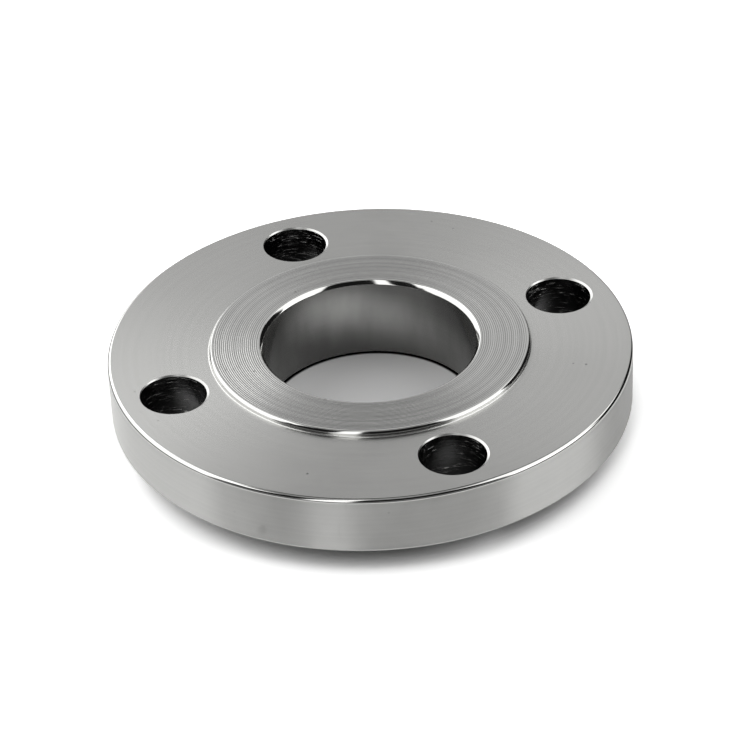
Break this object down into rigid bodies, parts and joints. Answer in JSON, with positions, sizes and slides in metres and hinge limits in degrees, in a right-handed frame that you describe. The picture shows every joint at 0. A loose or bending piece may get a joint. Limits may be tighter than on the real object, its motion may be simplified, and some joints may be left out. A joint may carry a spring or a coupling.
{
  "type": "slip-on pipe flange",
  "caption": "Round steel pipe flange: flat rim, raised gasket face with fine concentric grooves, plain bore, short tapered hub behind, and a ring of bolt holes.",
  "frame": {"origin": "centre of the hub's end face, where the pipe goes in; the lowest point of the part", "axes": "+Z along the bore axis, out of the raised gasket face; the bolt holes straddle X and Y"},
  "size_m": [0.1524, 0.1524, 0.0254],
  "materials": {
    "turned_steel": "fine turned stainless steel, with serrated gasket face and bright broken edges"
  },
  "bodies": {
    "root": {"flange": "turned_steel"}
  },
  "joints": []
}
